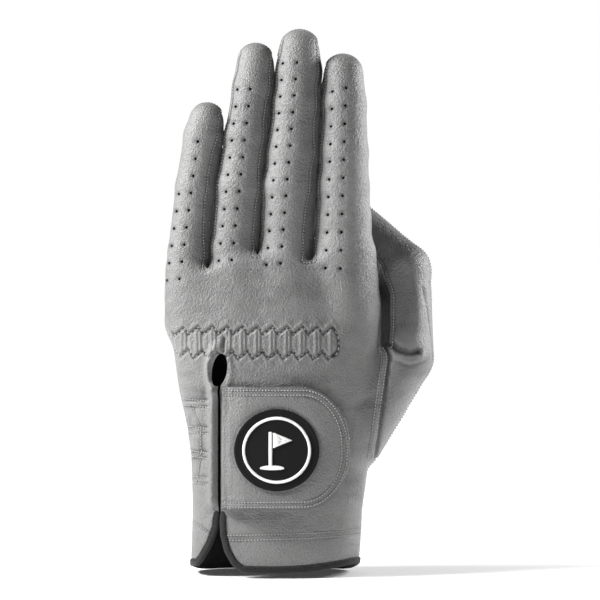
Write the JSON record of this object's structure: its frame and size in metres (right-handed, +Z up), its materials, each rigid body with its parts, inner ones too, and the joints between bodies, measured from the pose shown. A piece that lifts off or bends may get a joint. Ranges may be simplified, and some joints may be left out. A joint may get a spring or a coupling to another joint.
{
  "type": "golf glove",
  "caption": "Left-hand leather golf glove filled out as if worn, standing on its bound cuff, with perforated fingers, a smocked back and a hook-and-loop closure tab.",
  "frame": {"origin": "under the middle of the glove's box, on the flat lower edge of the cuff that it stands on", "axes": "+Z up along the fingers, -Y out of the back of the hand, +Y out of the palm, +X towards the thumb"},
  "size_m": [0.1154, 0.0604, 0.2348],
  "materials": {
    "grey_leather": "thin mid-grey glove leather with a fine grain and a soft satin sheen",
    "edge_tape": "black woven binding tape",
    "inner_fabric": "thin dark grey lining fabric",
    "elastic": "ribbed black elastic",
    "loop_fabric": "black looped pile",
    "hook_plastic": "black moulded hooks",
    "badge_black": "black soft rubber with a fine woven look",
    "badge_white": "white soft rubber",
    "grey_thread": "grey polyester sewing thread"
  },
  "bodies": {
    "hand": {"back_panel": "grey_leather", "palm_panel": "grey_leather", "edge_binding": "edge_tape", "cuff_facing": "inner_fabric", "knuckle_elastic": "elastic", "wrist_elastic": "elastic", "loop_pad": "loop_fabric", "thumb_base_back": "grey_leather", "thumb_base_palm": "grey_leather"},
    "tab": {"tab_leather": "grey_leather", "tab_lining": "inner_fabric", "hook_pad": "hook_plastic", "badge_disc": "badge_black", "badge_ring": "badge_white", "badge_flag": "badge_white"},
    "little_finger": {"little_back": "grey_leather", "little_palm": "grey_leather", "little_fourchette_thumb_side": "grey_leather"},
    "ring_finger": {"ring_back": "grey_leather", "ring_palm": "grey_leather", "ring_fourchette_little_side": "grey_leather", "ring_fourchette_thumb_side": "grey_leather"},
    "middle_finger": {"middle_back": "grey_leather", "middle_palm": "grey_leather", "middle_fourchette_little_side": "grey_leather", "middle_fourchette_thumb_side": "grey_leather"},
    "index_finger": {"index_back": "grey_leather", "index_palm": "grey_leather", "index_fourchette_little_side": "grey_leather"},
    "thumb": {"thumb_back": "grey_leather", "thumb_palm": "grey_leather"}
  },
  "joints": [
    {"name": "tab_opening", "type": "hinge", "parent": "hand", "child": "tab", "pos_m": [-0.0315, -0.0252, 0.0546], "axis": [0, 0, -1], "range_deg": [0, 130]},
    {"name": "little_bend", "type": "hinge", "parent": "hand", "child": "little_finger", "pos_m": [-0.0485, 0.0044, 0.1383], "axis": [-1, 0, 0], "range_deg": [0, 70]},
    {"name": "ring_bend", "type": "hinge", "parent": "hand", "child": "ring_finger", "pos_m": [-0.0281, 0.0044, 0.1383], "axis": [-1, 0, 0], "range_deg": [0, 70]},
    {"name": "middle_bend", "type": "hinge", "parent": "hand", "child": "middle_finger", "pos_m": [-0.0067, 0.0044, 0.1383], "axis": [-1, 0, 0], "range_deg": [0, 70]},
    {"name": "index_bend", "type": "hinge", "parent": "hand", "child": "index_finger", "pos_m": [0.0182, 0.0044, 0.1383], "axis": [-1, 0, 0], "range_deg": [0, 38]},
    {"name": "thumb_bend", "type": "hinge", "parent": "hand", "child": "thumb", "pos_m": [0.0467, 0.0143, 0.0977], "axis": [-0.9085, 0, 0.4179], "range_deg": [0, 50]}
  ]
}
